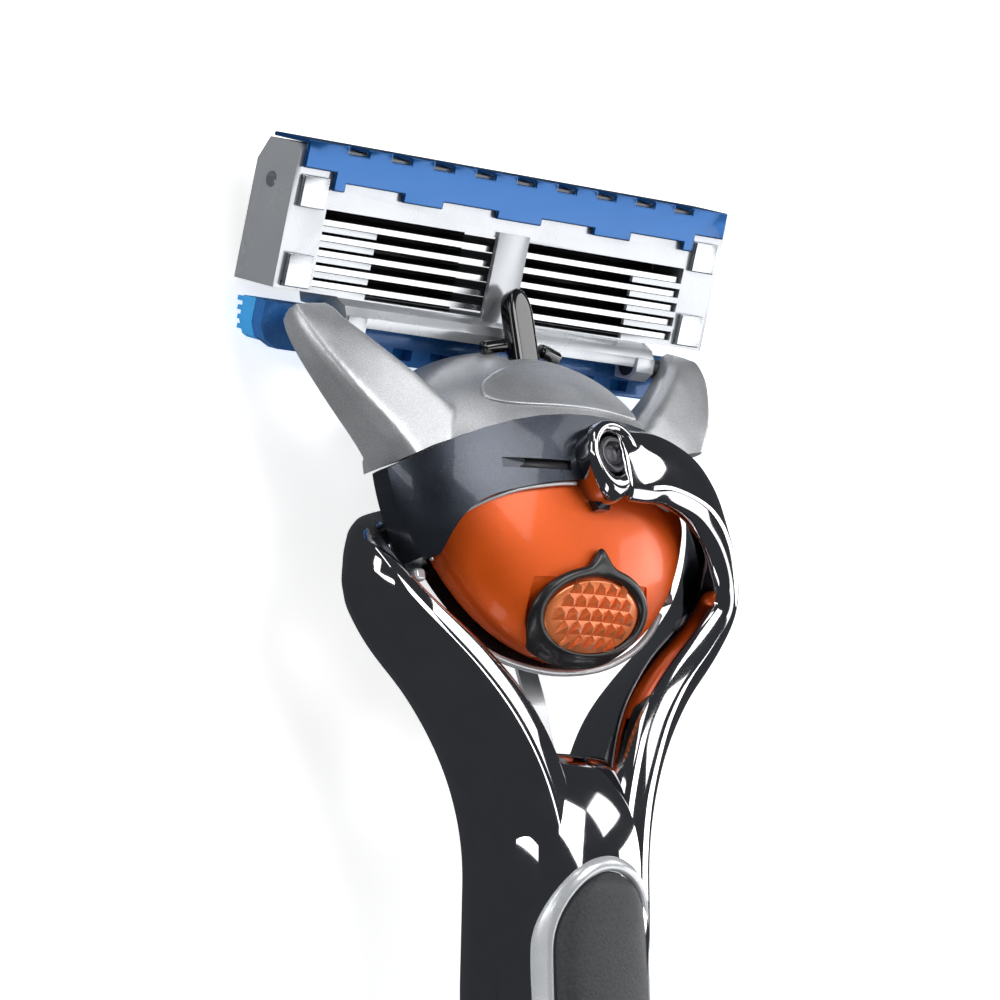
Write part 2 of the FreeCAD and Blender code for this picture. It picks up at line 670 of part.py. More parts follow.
REAR_ARM = [
    (1.8, -0.3, -8.2, 2.2, 0.8, V(0, 0, -1)), (-1.5, -0.8, -8.2, 2.4, 0.9, V(0, 0, -1)),
    (-6.2, -2.4, -7.9, 2.4, 1.1, V(-0.15, 0, -1)), (-10.8, -3.7, -6.7, 2.5, 1.3, V(-0.5, 0, -1)),
    (-13.9, -5.0, -4.7, 2.6, 1.5, V(-0.9, 0, -0.7)), (-15.1, -7.1, -3.1, 2.8, 1.6, V(-1, 0, -0.2)),
    (-13.4, -10.2, -2.6, 3.1, 1.9, V(-1, -0.3, 0)), (-10.2, -13.3, -2.7, 3.3, 2.2, V(-1, -0.6, 0)),
    (-7.1, -16.6, -3.1, 3.6, 2.6, V(-1, -0.7, 0)), (-4.6, -20.4, -3.5, 3.8, 2.7, V(-1, -0.6, 0)),
    (-3.1, -24.5, -4.0, 3.8, 2.7, V(-1, -0.3, 0)),
]
BODY = [
    (18.4, 0.9, 3.6, 1.7), (20.2, 1.7, 5.4, 2.9), (22.8, 2.2, 6.5, 4.0), (26.5, 2.25, 6.6, 4.7),
    (32, 2.1, 6.4, 5.2), (42, 2.2, 6.7, 5.9),
    (56, 2.2, 7.2, 6.5), (72, 1.3, 7.1, 6.5), (88, -0.8, 6.6, 5.9), (102, -3.3, 6.1, 5.2),
    (112, -5.3, 5.7, 4.6),
]


ACROSS = V(1, 0, 0)
UP = V(0, 0, 1)
HANDLE_POWER = 2.3


def handle_solid(grow=0.0, start=0):
    """The handle's outer form, or a larger or smaller copy, from one of its stations on."""
    wires = []
    for y, z, half_x, half_z in refined(BODY[start:], 2):
        wires.append(oval(V(0, -y, z), ACROSS, UP, half_x + grow, half_z + grow, HANDLE_POWER))
    return skin(wires)


def in_handle(shape):
    """Move a shape from the ball's frame into the handle's."""
    copy = shape.copy()
    copy.Placement = BALL_FRAME
    return copy


def parting():
    """The front half space of the handle, split along its centre line."""
    middle = [(-y, z) for y, z, _, _ in BODY]
    return side_prism([(40, 2.25), (-18, 2.25)] + middle + [(-125, -6.5), (-125, 30), (40, 30)], 30)


def grip_plan(start, end, half, grow):
    """Everything inside a grip's long outline with round ends, grown by grow all round."""
    cap = size("gripCap")
    points = []
    for sign, edge in ((1, -start - cap), (-1, -end + cap)):
        for step in range(17):
            turn = math.pi * step / 16
            x = -sign * (half + grow) * math.cos(turn)
            points.append((x, edge + sign * (cap + grow) * math.sin(turn)))
    return prism(points, -30, 30)


GRIP_BED = -0.9
RIM_WIDTH = 1.0
GAP = 0.03


def make_frame():
    solid = handle_solid()
    front_half = parting()
    front_arm = in_handle(limb(FRONT_ARM, power=2.8))
    rear_arm = in_handle(limb(REAR_ARM, power=2.8))
    boss = in_handle(rod(2.3, (0, 0, 5.8), (0, 0, 7.0)))
    bearing = in_handle(rod(2.6, (0, 0, -8.9), (0, 0, -7.0)))
    core = handle_solid(-size("handleWall"), 3)
    front = solid.common(front_half).fuse([front_arm, boss])
    rear = solid.cut(front_half).fuse([rear_arm, bearing])
    pin_hole = in_handle(rod(size("swivelPinRadius"), (0, 0, -14), (0, 0, 14)))
    spring = tail_spring()
    feature("tail_spring", spring, BALL_FRAME)
    for cutter in (pin_hole, in_handle(spring)):
        front = front.cut(cutter)
        rear = rear.cut(cutter)
    rear = rear.cut(front)
    front = front.cut(core)
    rear = rear.cut(core)
    bed = handle_solid(GRIP_BED, 2)
    front_grip = (size("gripStart"), size("gripEnd"), size("gripHalf"))
    rim_zone = grip_plan(*front_grip, 0.0).common(front_half)
    front = front.cut(rim_zone.cut(bed))
    rim = handle_solid(0.25, 2).cut(bed).common(rim_zone).cut(grip_plan(*front_grip, -RIM_WIDTH))
    inside = grip_plan(*front_grip, -RIM_WIDTH - GAP)
    grip = handle_solid(0.45, 2).cut(bed).common(rim_zone).common(inside)
    rear_grip = (size("rearGripStart"), size("rearGripEnd"), size("rearGripHalf"))
    rear = rear.cut(grip_plan(*rear_grip, 0.0).cut(front_half).cut(bed))
    pad = handle_solid(0.3, 2).cut(bed).common(grip_plan(*rear_grip, -GAP).cut(front_half))
    feature("frame_front", largest(front), HANDLE_FRAME)
    feature("frame_rear", largest(rear), HANDLE_FRAME)
    feature("grip_rim", largest(rim), HANDLE_FRAME)
    feature("grip_front", largest(grip), HANDLE_FRAME)
    feature("grip_rear", largest(pad), HANDLE_FRAME)


def make_pins():
    radius = size("swivelPinRadius")
    feature("swivel_pin_front", rod(radius, (0, 0, 2.2), (0, 0, size("swivelPinFace"))), BALL_FRAME)
    feature("swivel_pin_rear", rod(radius, (0, 0, -8.9), (0, 0, -4.0)), BALL_FRAME)


def tail_spring():
    """The flat spring from the neck's fork to the back of the ball."""
    points = [(-18.6, -3.8), (-15.0, -4.0), (-12.0, -4.5), (-12.0, -4.75), (-15.0, -4.25), (-18.6, -4.05)]
    return side_prism(points, 0.95)


def make_weight():
    """Steel bar that gives the hollow handle its heft."""
    feature("balance_bar", rod(2.8, (0, -42, 2.0), (0, -84, 0.4)), HANDLE_FRAME)


def make_end():
    y, z, half_x, half_z = BODY[-1]
    wires = []
    for back, scale in ((0.0, 1.0), (3.0, 0.97), (5.2, 0.85), (6.5, 0.6), (7.0, 0.3)):
        centre = V(0, -y - back, z - 0.16 * back)
        wires.append(oval(centre, ACROSS, UP, half_x * scale, half_z * scale, HANDLE_POWER))
    feature("end_cap", skin(wires), HANDLE_FRAME)


make_housing()
make_clips()
make_comb()
for number in range(1, int(size("bladeCount")) + 1):
    make_blade(number)
make_strip()
make_trimmer()
make_guard()
make_collar()
make_ball()
make_cup()
make_nubs()
make_dock()
make_plunger()
make_button()
make_yoke()
make_frame()
make_pins()
make_weight()
make_end()

doc.recompute()
os.makedirs("parts", exist_ok=True)
for obj in doc.Objects:
    if {"Invalid", "Error"} & set(obj.State):
        raise RuntimeError(f"{obj.Label} did not compute")
whole = FreeCAD.BoundBox()
for obj, frame in parts:
    if obj.Shape.isNull() or not obj.Shape.isValid():
        raise RuntimeError(f"{obj.Label} has no valid shape")
    whole.add(obj.Shape.optimalBoundingBox(False))
middle = whole.Center
ground = FreeCAD.Placement(V(-middle.x, -middle.y, -whole.ZMin), FreeCAD.Rotation())
for obj, frame in parts:
    obj.Placement = ground * frame
doc.recompute()
for obj, frame in parts:
    obj.Shape.exportStep(f"parts/{obj.Label}.step")
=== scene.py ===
import bpy
import bmesh
import json
import math
from mathutils import Matrix, Vector


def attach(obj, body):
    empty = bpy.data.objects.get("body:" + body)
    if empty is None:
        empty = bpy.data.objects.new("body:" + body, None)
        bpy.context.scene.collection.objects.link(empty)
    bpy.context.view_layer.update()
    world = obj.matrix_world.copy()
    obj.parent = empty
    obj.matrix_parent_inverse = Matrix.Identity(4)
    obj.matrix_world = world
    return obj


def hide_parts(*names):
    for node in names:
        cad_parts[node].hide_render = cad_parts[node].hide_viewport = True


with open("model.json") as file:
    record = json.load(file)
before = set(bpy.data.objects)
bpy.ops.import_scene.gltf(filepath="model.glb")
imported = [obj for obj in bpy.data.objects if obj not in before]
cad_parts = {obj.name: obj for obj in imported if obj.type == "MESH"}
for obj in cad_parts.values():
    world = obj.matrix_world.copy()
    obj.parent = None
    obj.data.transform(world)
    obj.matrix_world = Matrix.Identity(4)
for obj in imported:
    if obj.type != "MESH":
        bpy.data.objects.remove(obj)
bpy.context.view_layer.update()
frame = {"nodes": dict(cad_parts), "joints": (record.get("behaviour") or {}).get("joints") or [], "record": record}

# Cartridge razor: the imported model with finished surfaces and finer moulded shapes.
# Lengths below are millimetres unless a name ends in _m; MM turns them into metres.
MM = 0.001
NODES = frame["nodes"]
JOINTS = {joint["name"]: joint for joint in frame["joints"]}

# The ball's own frame: X across, Y towards the cartridge, Z out of the button side.
SWIVEL = Vector(JOINTS["ball_swivel"]["pos_m"])
BALL_Z = Vector(JOINTS["ball_swivel"]["axis"]).normalized()
BALL_X = Vector((1, 0, 0))
BALL_Y = BALL_Z.cross(BALL_X)
# The cartridge's frame: its blades float along its Z, its origin is above the first slot.
CART_Z = Vector(JOINTS["blade_float_1"]["axis"]).normalized()
CART_Y = CART_Z.cross(BALL_X)
# From the swivel axis to the cartridge's origin, along the ball's Y.
HEAD_REACH = 17.5
UP = (0, 0, 1)


def frame_matrix(origin, y_axis, z_axis):
    """Takes millimetres in a local frame to metres in the part's frame; X is the same in both."""
    rows = Matrix((BALL_X, y_axis, z_axis)).transposed().to_4x4()
    return Matrix.Translation(origin) @ rows @ Matrix.Scale(MM, 4)


BALL = frame_matrix(SWIVEL, BALL_Y, BALL_Z)
CART = frame_matrix(SWIVEL + BALL_Y * HEAD_REACH * MM, CART_Y, CART_Z)
HANDLE = frame_matrix(SWIVEL, Vector((0, 1, 0)), Vector((0, 0, 1)))


# ---- materials ------------------------------------------------------------------------


NOISE_DETAIL = 2.0
NOISE_LOW, NOISE_HIGH = 0.3, 0.7
CLOUD_SIZE = 4.0
FINE_SHARE, SLOW_SHARE = 0.65, 0.35
LEAST_ROUGH = 0.02
BUMP_STRENGTH = 0.6


def noise(tree, coords, size, stretch=None):
    """Noise whose grains are about size millimetres across."""
    source = coords
    if stretch:
        mapping = tree.nodes.new("ShaderNodeMapping")
        mapping.inputs["Scale"].default_value = stretch
        tree.links.new(coords, mapping.inputs["Vector"])
        source = mapping.outputs["Vector"]
    node = tree.nodes.new("ShaderNodeTexNoise")
    node.inputs["Scale"].default_value = 1 / (size * MM)
    node.inputs["Detail"].default_value = NOISE_DETAIL
    tree.links.new(source, node.inputs["Vector"])
    return node.outputs["Fac"]


def ramp_to(tree, value, low, high):
    """Stretches the part of the range where most of the noise lies over low to high."""
    node = tree.nodes.new("ShaderNodeMapRange")
    node.inputs["From Min"].default_value = NOISE_LOW
    node.inputs["From Max"].default_value = NOISE_HIGH
    node.inputs["To Min"].default_value = low
    node.inputs["To Max"].default_value = high
    tree.links.new(value, node.inputs["Value"])
    return node.outputs["Result"]


def finish(name, colour, rough, metal, coat, grain, bump, vary,
           rough_swing=0.06, stretch=None, coat_rough=0.05):
    """Moulded, painted or plated surface: fine grain, slow clouding and uneven gloss."""
    mat = bpy.data.materials.new(name)
    mat.use_nodes = True
    tree = mat.node_tree
    shader = tree.nodes["Principled BSDF"]
    coords = tree.nodes.new("ShaderNodeTexCoord").outputs["Object"]
    fine = noise(tree, coords, grain, stretch)
    slow = noise(tree, coords, CLOUD_SIZE)
    mix = tree.nodes.new("ShaderNodeMix")
    mix.data_type = "RGBA"
    mix.inputs["A"].default_value = [c * (1 - vary) for c in colour] + [1]
    mix.inputs["B"].default_value = [min(1, c * (1 + vary)) for c in colour] + [1]
    blend = tree.nodes.new("ShaderNodeMath")
    blend.operation = "MULTIPLY_ADD"
    blend.inputs[1].default_value = FINE_SHARE
    tree.links.new(fine, blend.inputs[0])
    half = tree.nodes.new("ShaderNodeMath")
    half.operation = "MULTIPLY"
    half.inputs[1].default_value = SLOW_SHARE
    tree.links.new(slow, half.inputs[0])
    tree.links.new(half.outputs[0], blend.inputs[2])
    tree.links.new(ramp_to(tree, blend.outputs[0], 0, 1), mix.inputs["Factor"])
    tree.links.new(mix.outputs["Result"], shader.inputs["Base Color"])
    low = max(LEAST_ROUGH, rough - rough_swing)
    tree.links.new(ramp_to(tree, slow, low, rough + rough_swing), shader.inputs["Roughness"])
    shader.inputs["Metallic"].default_value = metal
    shader.inputs["Coat Weight"].default_value = coat
    shader.inputs["Coat Roughness"].default_value = coat_rough
    if bump:
        relief = tree.nodes.new("ShaderNodeBump")
        relief.inputs["Strength"].default_value = BUMP_STRENGTH
        relief.inputs["Distance"].default_value = bump * MM
        tree.links.new(fine, relief.inputs["Height"])
        tree.links.new(relief.outputs["Normal"], shader.inputs["Normal"])
    return mat


# Grain and bump are in millimetres; vary is how far the colour swings either way.
LOOKS = {
    "housing_plastic": dict(colour=(0.58, 0.60, 0.63), rough=0.24, metal=0.6, coat=0.3,
                            grain=0.12, bump=0.002, vary=0.05),
    "clip_metal": dict(colour=(0.60, 0.62, 0.65), rough=0.24, metal=1.0, coat=0.0,
                       grain=0.3, bump=0.004, vary=0.08, stretch=(0.2, 1, 1)),
    "comb_blue": dict(colour=(0.012, 0.105, 0.33), rough=0.2, metal=0.7, coat=0.4,
                      grain=0.1, bump=0.003, vary=0.14),
    "blade_steel": dict(colour=(0.66, 0.68, 0.70), rough=0.26, metal=1.0, coat=0.0,
                        grain=0.15, bump=0.004, vary=0.10, stretch=(0.05, 1, 1)),
    "strip_plastic": dict(colour=(0.72, 0.80, 0.76), rough=0.5, metal=0.0, coat=0.0,
                          grain=0.3, bump=0.02, vary=0.08),
    "guard_rubber": dict(colour=(0.03, 0.36, 0.80), rough=0.45, metal=0.0, coat=0.1,
                         grain=0.15, bump=0.015, vary=0.1),
    "carrier_blue": dict(colour=(0.03, 0.17, 0.50), rough=0.3, metal=0.2, coat=0.4,
                         grain=0.2, bump=0.006, vary=0.12),
    "collar_black": dict(colour=(0.045, 0.052, 0.068), rough=0.27, metal=0.8, coat=0.35,
                         grain=0.06, bump=0.014, vary=0.45),
    "ball_orange": dict(colour=(1.0, 0.12, 0.002), rough=0.42, metal=0.35, coat=0.25,
                        grain=0.07, bump=0.008, vary=0.16, coat_rough=0.08),
    # Also the colour of the dark sheets of painted shade in the cartridge windows and in the collar's slot.
    "inner_plastic": dict(colour=(0.05, 0.05, 0.055), rough=0.5, metal=0.0, coat=0.0,
                          grain=0.2, bump=0.01, vary=0.1),
    # Painted shade: near-black steel for the blade webs, standing in for the shade between the blades.
    "blade_shade": dict(colour=(0.012, 0.012, 0.013), rough=0.5, metal=0.3, coat=0.0,
                        grain=0.3, bump=0.004, vary=0.2),
    "plunger_black": dict(colour=(0.008, 0.008, 0.009), rough=0.12, metal=0.0, coat=0.8,
                          grain=0.3, bump=0.002, vary=0.2),
    "button_black": dict(colour=(0.014, 0.014, 0.016), rough=0.34, metal=0.0, coat=0.2,
                         grain=0.09, bump=0.01, vary=0.3),
    "pad_orange": dict(colour=(1.0, 0.26, 0.08), rough=0.28, metal=0.35, coat=0.4,
                       grain=0.12, bump=0.004, vary=0.12),
    "yoke_silver": dict(colour=(0.72, 0.73, 0.75), rough=0.42, metal=0.75, coat=0.15,
                        grain=0.09, bump=0.012, vary=0.25),
    "pin_steel": dict(colour=(0.10, 0.10, 0.11), rough=0.35, metal=0.8, coat=0.0,
                      grain=0.12, bump=0.006, vary=0.2),
    "frame_chrome": dict(colour=(0.50, 0.49, 0.51), rough=0.06, metal=1.0, coat=0.0,
                         grain=1.5, bump=0.0, vary=0.05, rough_swing=0.03),
    "rim_silver": dict(colour=(0.74, 0.76, 0.78), rough=0.25, metal=0.3, coat=0.4,
                       grain=0.15, bump=0.004, vary=0.06),
    "grip_rubber": dict(colour=(0.05, 0.052, 0.056), rough=0.55, metal=0.0, coat=0.0,
                        grain=0.22, bump=0.04, vary=0.35),
}
MATERIALS = {name: finish(name, **look) for name, look in LOOKS.items()}

for entry in frame["record"]["subparts"]:
    mesh = NODES[entry["node"]].data
    mesh.materials.clear()
    mesh.materials.append(MATERIALS[entry["material_slot"]])


# ---- mesh makers -----------------------------------------------------------------------


def piece(name, verts, faces, matrix, slot, body, smooth=0, stands_for=()):
    """A mesh piece from millimetre points in one of the frames above."""
    mesh = bpy.data.meshes.new(name)
    mesh.from_pydata([matrix @ Vector(v) for v in verts], [], faces)
    work = bmesh.new()
    work.from_mesh(mesh)
    bmesh.ops.recalc_face_normals(work, faces=work.faces)
    work.to_mesh(mesh)
    work.free()
    mesh.polygons.foreach_set("use_smooth", [True] * len(mesh.polygons))
    mesh.materials.append(MATERIALS[slot])
    obj = bpy.data.objects.new(name, mesh)
    bpy.context.scene.collection.objects.link(obj)
    if smooth:
        surf = obj.modifiers.new("smooth", "SUBSURF")
        surf.levels = smooth
        surf.render_levels = smooth
    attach(obj, body)
    if stands_for:
        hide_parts(*stands_for)
    return obj


def tube_faces(rows, around, closed=False, capped=True):
    """Quads between rings of points, with the ends capped or joined round."""
    faces = []
    for row in range(rows if closed else rows - 1):
        here = row * around
        there = (row + 1) % rows * around
        for step in range(around):
            ahead = (step + 1) % around
            faces.append((here + step, here + ahead, there + ahead, there + step))
    if capped and not closed:
        faces.append(tuple(range(around))[::-1])
        faces.append(tuple((rows - 1) * around + step for step in range(around)))
    return faces


def curve_value(before, start, end, after, share):
    """Catmull-Rom value between two stations."""
    square = share * share
    cube = square * share
    return 0.5 * (2 * start + (end - before) * share + (2 * before - 5 * start + 4 * end - after) * square
                  + (3 * start - before - 3 * end + after) * cube)


def refined(stations, steps):
    """Stations with steps - 1 more between each two, on a smooth curve."""
    rows = []
    last = len(stations) - 1
    for index in range(last):
        around = [stations[min(max(index + shift, 0), last)] for shift in (-1, 0, 1, 2)]
        for step in range(steps):
            rows.append([curve_value(*values, step / steps) for values in zip(*around)])
    return rows + [list(stations[-1])]


def bevelled(corners, share=0.14):
    """Each corner of a section becomes two points, which keeps a narrow rounded edge."""
    points = []
    for index, corner in enumerate(corners):
        before = Vector(corners[index - 1])
        after = Vector(corners[(index + 1) % len(corners)])
        here = Vector(corner)
        points.append(here.lerp(before, share))
        points.append(here.lerp(after, share))
    return points


def limb_rings(stations, section, steps=3):
    """Rings of a section carried along stations of x, y, z, half across, half thick, out direction."""
    rows = refined([list(s[:5]) + list(s[5]) for s in stations], steps)
    centres = [Vector(row[:3]) for row in rows]
    verts = []
    for index, (centre, row) in enumerate(zip(centres, rows)):
        before = centres[max(index - 1, 0)]
        after = centres[min(index + 1, len(centres) - 1)]
        along = (after - before).normalized()
        across = along.cross(Vector(row[5:])).normalized()
        out = across.cross(along)
        for u, w in section:
            verts.append(centre + across * (u * row[3]) + out * (w * row[4]))
    return verts, len(rows)


def limb(name, stations, section, matrix, slot, body, stands_for=(), steps=3, smooth=2):
    verts, rows = limb_rings(stations, section, steps)
    return piece(name, verts, tube_faces(rows, len(section)), matrix, slot, body, smooth, stands_for)


def ellipsoid_top(centre, halves):
    """Height of an ellipsoid's upper surface over a point."""
    def height(x, y):
        left = 1 - (x / halves[0]) ** 2 - ((y - centre[1]) / halves[1]) ** 2
        return centre[2] + halves[2] * math.sqrt(max(0.0, left))
    return height


def patch(name, plan, rows, height, matrix, slot, body, ring=False, smooth=1, stands_for=()):
    """Raised plate or ring over a surface: rows of inset from the plan's edge and lift."""
    verts = []
    for inset, lift in rows:
        outline = plan(inset)
        verts += [(x, y, height(x, y) + lift) for x, y in outline]
    faces = tube_faces(len(rows), len(outline), closed=ring)
    return piece(name, verts, faces, matrix, slot, body, smooth, stands_for)


def ellipse(half_x, half_y, centre_y, bend=0.0, steps=64):
    """Oval outline whose insets draw in to the centre without crossing."""
    def plan(inset):
        points = []
        for step in range(steps):
            turn = math.tau * step / steps
            x = (half_x - inset - (half_x - half_y) * (inset / half_y) ** 3) * math.sin(turn)
            points.append((x, centre_y + (half_y - inset) * math.cos(turn) - bend * x * x))
        return points
    return plan


def sweep(name, points, radius, slot, body):
    """Round bead along points in the ball's frame."""
    around = 12
    centres = [Vector(p) for p in refined(points, 5)]
    verts = []
    for index, centre in enumerate(centres):
        along = (centres[min(index + 1, len(centres) - 1)] - centres[max(index - 1, 0)]).normalized()
        side = along.cross(Vector(UP)).normalized()
        up = side.cross(along)
        for step in range(around):
            turn = math.tau * step / around
            verts.append(centre + radius * (side * math.cos(turn) + up * math.sin(turn)))
    return piece(name, verts, tube_faces(len(centres), around), BALL, slot, body)


def softened(node, width, body):
    """The node's own form with its sharp edges rounded, in place of the node."""
    source = NODES[node]
    mesh = source.data.copy()
    mesh.transform(source.matrix_world)
    work = bmesh.new()
    work.from_mesh(mesh)
    bmesh.ops.remove_doubles(work, verts=work.verts, dist=2e-6)
    bmesh.ops.dissolve_limit(work, angle_limit=math.radians(1.5), verts=work.verts, edges=work.edges)
    bmesh.ops.recalc_face_normals(work, faces=work.faces)
    work.to_mesh(mesh)
    work.free()
    mesh.polygons.foreach_set("use_smooth", [True] * len(mesh.polygons))
    obj = bpy.data.objects.new(f"{node}_moulded", mesh)
    bpy.context.scene.collection.objects.link(obj)
    rounding = obj.modifiers.new("rounding", "BEVEL")
    rounding.width = width * MM
    rounding.segments = 3
    rounding.limit_method = "ANGLE"
    rounding.angle_limit = math.radians(32)
    rounding.harden_normals = True
    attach(obj, body)
    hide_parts(node)


# ---- fork and handle ---------------------------------------------------------------------

# Stations of x, y, z, half across, half thick and out direction, in the ball's frame.
FRONT_ARM = [
    (0.6, -0.6, 6.5, 2.6, 0.55, UP), (2.6, -0.5, 6.45, 2.75, 0.75, UP),
    (5.4, -0.4, 5.95, 2.7, 1.0, (0.15, 0, 1)),
    (9.4, -1.3, 4.85, 2.6, 1.3, (0.5, 0, 1)), (12.6, -3.0, 2.9, 2.7, 1.45, (0.8, 0.05, 0.75)),
    (14.6, -5.4, 0.9, 2.9, 1.6, (1, 0, 0.5)), (14.9, -8.0, -0.6, 3.1, 1.8, (1, -0.1, 0.3)),
    (13.0, -10.8, -1.6, 3.3, 2.05, (1, -0.35, 0.2)), (10.0, -13.7, -2.3, 3.5, 2.3, (1, -0.6, 0.15)),
    (7.2, -17.0, -2.8, 3.8, 2.6, (1, -0.65, 0.1)), (5.1, -21.0, -3.2, 4.1, 2.6, (1, -0.5, 0.1)),
    (3.9, -25.5, -3.9, 4.3, 2.7, (1, -0.25, 0.1)), (3.6, -31.0, -5.1, 4.6, 2.9, (1, -0.1, 0.1)),
    (3.6, -38.0, -6.9, 4.4, 2.6, (1, 0, 0.1)), (2.6, -46.0, -9.0, 3.0, 1.6, (1, 0, 0.1)),
]
REAR_ARM = [
    (1.8, -0.3, -8.2, 2.1, 0.75, (0, 0, -1)), (-1.5, -0.8, -8.2, 2.3, 0.85, (0, 0, -1)),
    (-6.2, -2.4, -7.95, 2.3, 1.0, (-0.15, 0, -1)), (-10.8, -3.7, -6.8, 2.4, 1.15, (-0.5, 0, -1)),
    (-14.1, -5.2, -4.8, 2.45, 1.3, (-0.9, 0, -0.7)), (-15.3, -7.3, -3.2, 2.65, 1.4, (-1, 0, -0.2)),
    (-13.6, -10.4, -2.65, 3.0, 1.75, (-1, -0.3, 0.05)), (-10.3, -13.5, -2.6, 3.25, 2.15, (-1, -0.6, 0.15)),
    (-7.3, -17.0, -2.8, 3.6, 2.55, (-1, -0.65, 0.2)), (-5.2, -21.0, -3.2, 3.9, 2.6, (-1, -0.5, 0.2)),
    (-4.0, -25.5, -3.9, 4.2, 2.7, (-1, -0.25, 0.15)), (-3.7, -31.0, -5.1, 4.5, 2.9, (-1, -0.1, 0.1)),
    (-3.6, -38.0, -6.9, 4.4, 2.6, (-1, 0, 0.1)), (-2.6, -46.0, -9.0, 3.0, 1.6, (-1, 0, 0.1)),
]
FRONT_SECTION = [
    (-1, -0.5), (-0.8, 0.55), (-0.25, 0.95), (0.62, 0.9),
    (0.97, 0.35), (1, -0.45), (0.55, -0.9), (-0.6, -0.95),
]
REAR_SECTION = [
    (-1, -0.75), (-0.98, 0.1), (-0.72, 0.62), (-0.2, 0.93), (0.45, 1.0),
    (0.95, 0.5), (1, -0.5), (0.6, -0.95), (-0.6, -1),
]
# Distance behind the swivel axis, centre height, half across, half thick.
BODY = [
    (18.9, 1.2, 4.2, 2.3), (20.2, 1.8, 5.1, 3.1), (22.8, 2.2, 6.0, 4.1), (26.5, 2.25, 6.5, 4.75),
    (32, 2.1, 6.4, 5.2), (42, 2.2, 6.7, 5.9), (56, 2.2, 7.2, 6.5), (72, 1.3, 7.1, 6.5),
    (88, -0.8, 6.6, 5.9), (102, -3.3, 6.1, 5.2), (112, -5.3, 5.7, 4.6),
]
OVAL_POWER = 2.3
# Half of the hairline between the two casings.
SEAM_HALF = 0.03


def body_at(back):
    """Handle section behind the swivel axis: centre height, half across, half thick."""
    last = len(BODY) - 1
    for index in range(last):
        if back <= BODY[index + 1][0] or index == last - 1:
            share = (back - BODY[index][0]) / (BODY[index + 1][0] - BODY[index][0])
            share = min(max(share, 0), 1)
            around = [BODY[min(max(index + shift, 0), last)] for shift in (-1, 0, 1, 2)]
            return [curve_value(*values, share) for values in zip(*around)][1:]


def handle_top(x, y):
    z, half_x, half_z = body_at(-y)
    left = 1 - min(1, abs(x) / half_x) ** OVAL_POWER
    return z + half_z * left ** (1 / OVAL_POWER)


def handle_bottom(x, y):
    return 2 * body_at(-y)[0] - handle_top(x, y)


def handle_shell(name, side, stands_for):
    """Half of the handle's casing, front for side 1 and rear for side -1."""
    verts = []
    stations = refined(BODY, 4)
    steps = 24
    for back, z, half_x, half_z in stations:
        for step in range(steps + 1):
            turn = math.pi * step / steps
            c, s = math.cos(turn), math.sin(turn)
            x = half_x * math.copysign(abs(c) ** (2 / OVAL_POWER), c)
            verts.append((x, -back, z + side * (SEAM_HALF + half_z * s ** (2 / OVAL_POWER))))
    faces = tube_faces(len(stations), steps + 1)
    return piece(name, verts, faces, HANDLE, "frame_chrome", "frame", 1, stands_for)


def stadium(half, start, end, cap):
    """Long outline with round ends on the handle."""
    end_steps, side_steps = 24, 20
    run = (end - start - 2 * cap) / side_steps

    def plan(inset):
        wide = half - inset
        tall = cap - inset
        points = []
        for sign, edge in ((1, -start - cap), (-1, -end + cap)):
            for step in range(end_steps + 1):
                turn = math.pi * step / end_steps
                points.append((-sign * wide * math.cos(turn), edge + sign * tall * math.sin(turn)))
            for step in range(1, side_steps):
                points.append((sign * wide, edge - sign * run * step))
        return points
    return plan


GRIP_START = 25.8
GRIP_END = 96.0
GRIP_HALF = 5.6
GRIP_CAP = 6.6
PAD_INSET = 1.13
# Half width, start and end behind the swivel axis, length of each round end, and lift.
FRONT_PAD = (4.46, GRIP_START + PAD_INSET, GRIP_END - PAD_INSET, 5.45, 0.55)
REAR_PAD = (5.2, 34.0, 104.0, 6.0, -0.36)


def build_handle():
    handle_shell("handle_casing_front", 1, ("frame_front",))
    handle_shell("handle_casing_rear", -1, ("frame_rear",))
    limb("fork_arm_front", FRONT_ARM, bevelled(FRONT_SECTION), BALL, "frame_chrome", "frame",
         ("frame_front",))
    limb("fork_arm_rear", REAR_ARM, bevelled(REAR_SECTION), BALL, "frame_chrome", "frame",
         ("frame_rear",))
    grip = stadium(GRIP_HALF, GRIP_START, GRIP_END, GRIP_CAP)
    # Inset from the grip's outline and lift above the handle.
    rim_rows = [(0.0, -0.6), (0.0, 0.1), (0.25, 0.36), (0.85, 0.42), (1.1, 0.25), (1.1, -0.6)]
    patch("grip_rim_band", grip, rim_rows, handle_top, HANDLE, "rim_silver", "frame", ring=True,
          stands_for=("grip_rim",))
    grid_pad("grip_pad_front", FRONT_PAD, handle_top, ("grip_front",))
    grid_pad("grip_pad_rear", REAR_PAD, handle_bottom, ("grip_rear",))


